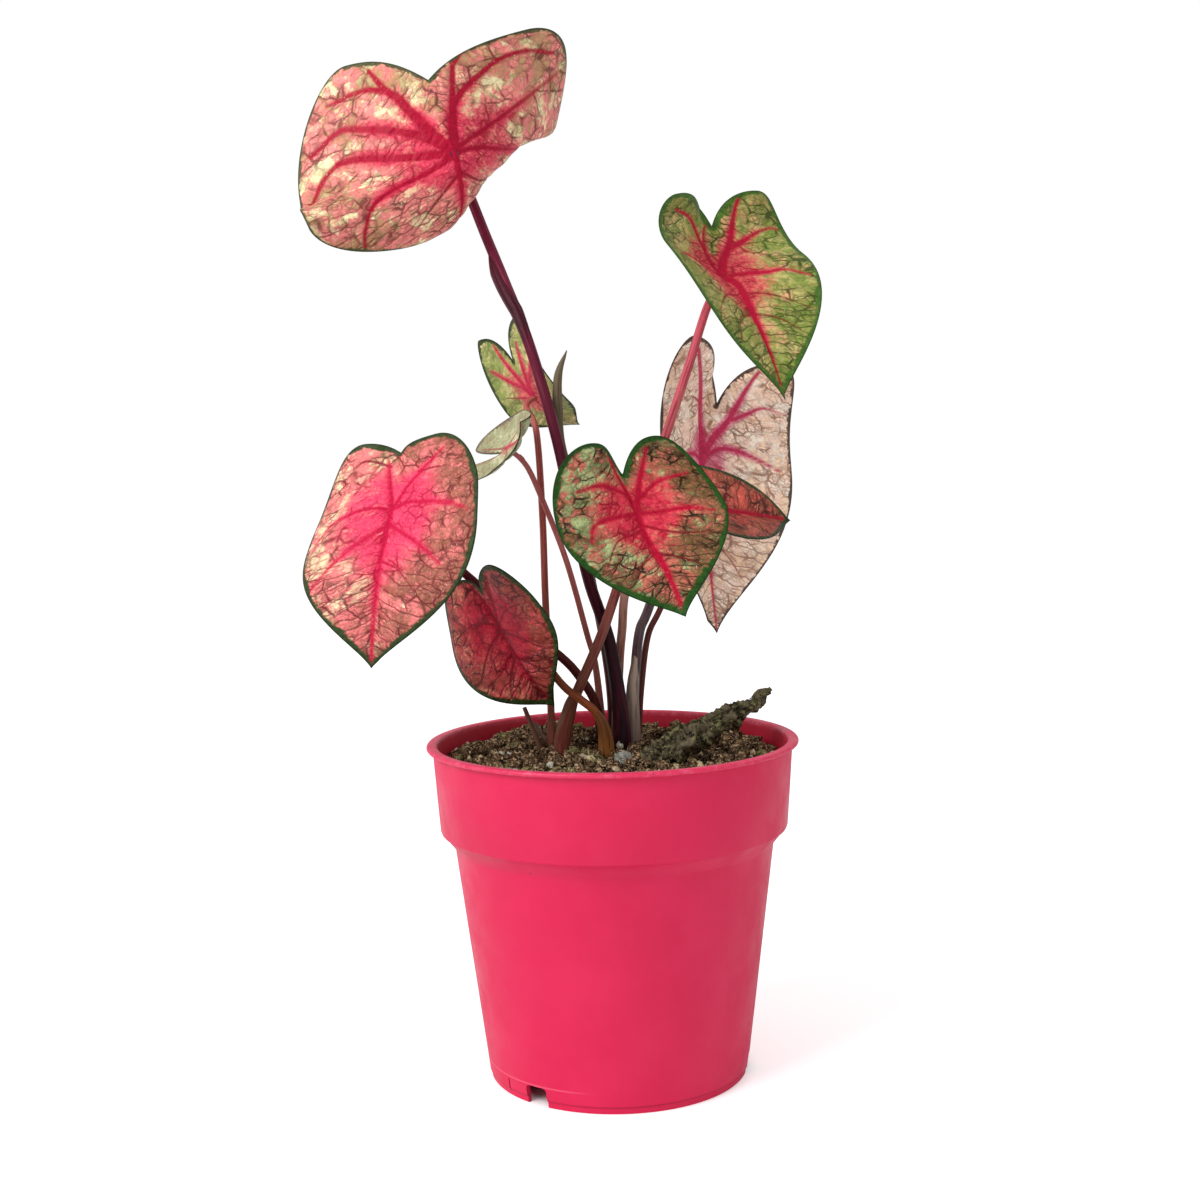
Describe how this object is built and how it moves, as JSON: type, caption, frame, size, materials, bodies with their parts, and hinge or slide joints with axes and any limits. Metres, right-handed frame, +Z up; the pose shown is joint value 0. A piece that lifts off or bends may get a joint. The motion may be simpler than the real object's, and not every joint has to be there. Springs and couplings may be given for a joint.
{
  "type": "potted caladium house plant",
  "caption": "Heart-shaped pink and green leaves on slender stalks rise from dark soil in a tapered pink nursery pot with a rolled rim and drainage slots in the foot.",
  "frame": {"origin": "middle of the whole plant's bounding rectangle, on the plane that the pot's foot stands on", "axes": "+Z up along the pot's axis, the longest extent; the pictured side faces -Y; +X to that side's right"},
  "size_m": [0.1652, 0.1265, 0.3366],
  "materials": {
    "pot": "satin pink moulded plastic",
    "soil": null,
    "tuber": null,
    "bark": "rough mossy bark",
    "lump": null,
    "perlite": null,
    "leaf_top_left": null,
    "leaf_top_right": null,
    "leaf_low_left": null,
    "leaf_middle": null,
    "leaf_back_right": null,
    "leaf_small_right": null,
    "leaf_low_middle": null,
    "leaf_small_back": null,
    "leaf_folded": null,
    "stalk_maroon": null,
    "stalk_red": null,
    "stalk_brown": null,
    "stalk_pink": null,
    "stalk_purple": null,
    "rolled_leaf": null
  },
  "bodies": {
    "root": {"pot": "pot", "soil": "soil", "tuber": "tuber", "bark": "bark", "lump": "lump", "perlite_left": "perlite", "perlite_right": "perlite", "leaf_top_left": "leaf_top_left", "leaf_top_right": "leaf_top_right", "leaf_low_left": "leaf_low_left", "leaf_middle": "leaf_middle", "leaf_back_right": "leaf_back_right", "leaf_small_right": "leaf_small_right", "leaf_low_middle": "leaf_low_middle", "leaf_small_back": "leaf_small_back", "leaf_folded": "leaf_folded", "stalk_top_left": "stalk_maroon", "stalk_top_right": "stalk_red", "stalk_low_left": "stalk_maroon", "stalk_middle": "stalk_pink", "stalk_back_right": "stalk_purple", "stalk_small_right": "stalk_brown", "stalk_low_middle": "stalk_brown", "stalk_small_back": "stalk_pink", "stalk_folded": "stalk_pink", "rolled_leaf": "rolled_leaf", "old_stub": "stalk_brown", "old_sheath": "stalk_brown"}
  },
  "joints": []
}
